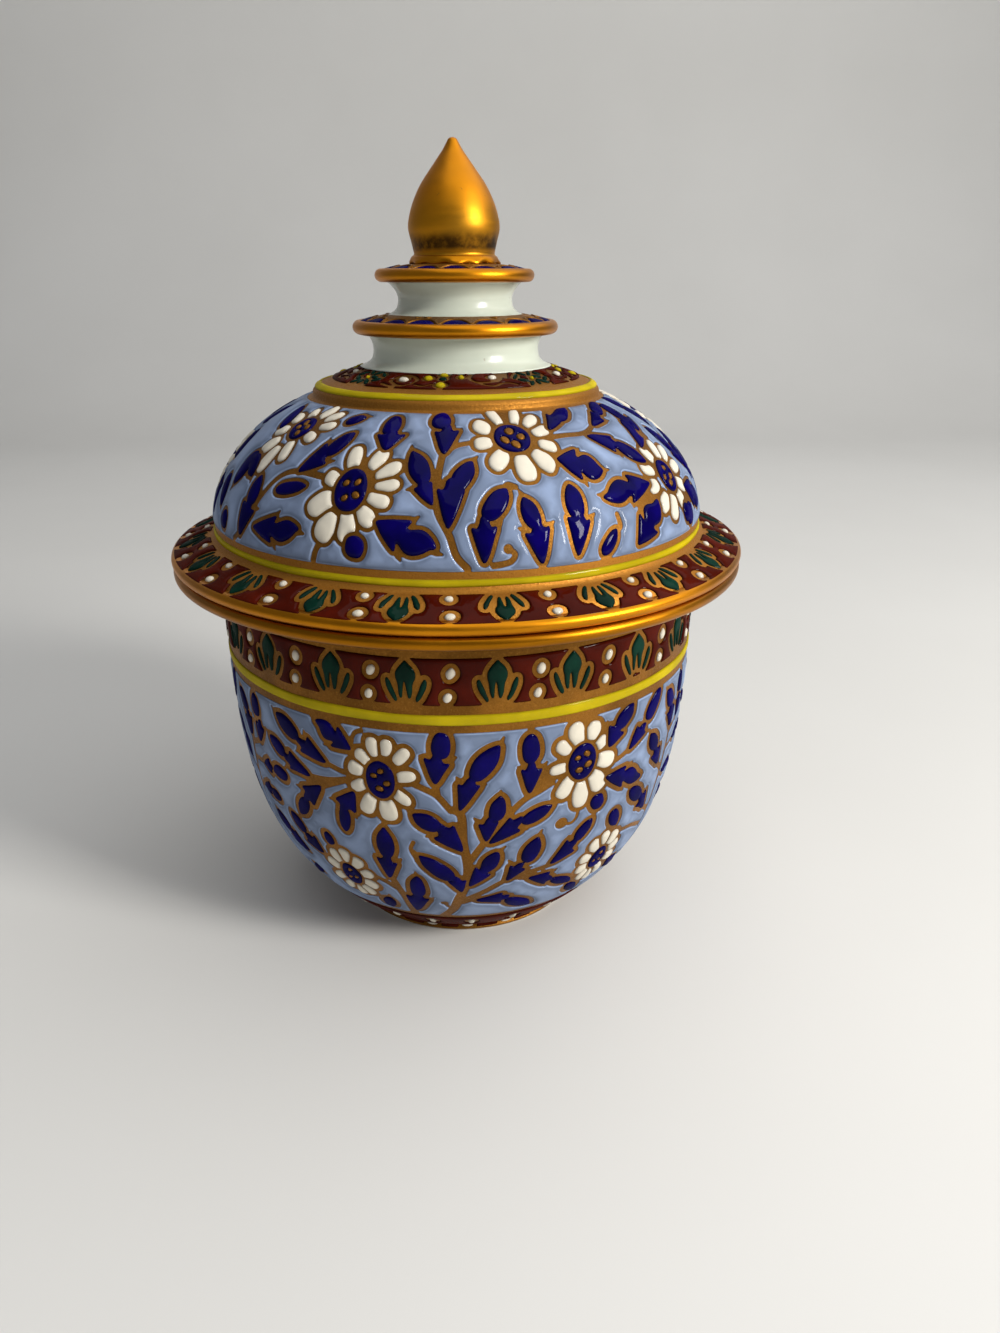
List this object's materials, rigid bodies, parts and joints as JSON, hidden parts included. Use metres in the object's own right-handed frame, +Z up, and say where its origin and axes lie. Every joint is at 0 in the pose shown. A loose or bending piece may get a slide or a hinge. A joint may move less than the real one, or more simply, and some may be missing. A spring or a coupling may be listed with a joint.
{
  "type": "covered jar",
  "caption": "Small round enamelled porcelain jar with a foot ring, a turned-out lip, a domed lid, a tiered finial and a lotus bud knob.",
  "frame": {"origin": "centre of the foot's resting ring, at the level that the jar stands on", "axes": "+Z up along the axis of the jar, lid and finial; the jar is round, so X and Y may point any way"},
  "size_m": [0.0932, 0.0932, 0.1249],
  "materials": {
    "biscuit": "unglazed, ground flat",
    "white_glaze": "glossy, faintly green white",
    "periwinkle_enamel": "glossy raised enamel",
    "cobalt_enamel": "glossy raised enamel",
    "maroon_enamel": "glossy raised enamel",
    "green_enamel": "glossy raised enamel",
    "yellow_enamel": "glossy raised enamel",
    "cream_enamel": "glossy raised enamel",
    "gilding": "fired gold on glaze, satin to bright"
  },
  "bodies": {
    "jar": {"jar_foot_ring": "biscuit", "jar_bowl": "periwinkle_enamel"},
    "lid": {"lid_locating_ring": "white_glaze", "lid_dome": "periwinkle_enamel", "finial_lower_tier": "white_glaze", "finial_upper_tier": "white_glaze", "finial_lotus_bud": "gilding"}
  },
  "joints": [
    {"name": "lid_lift", "type": "slide", "parent": "jar", "child": "lid", "axis": [0, 0, 1], "range_m": [0, 0.1]}
  ]
}
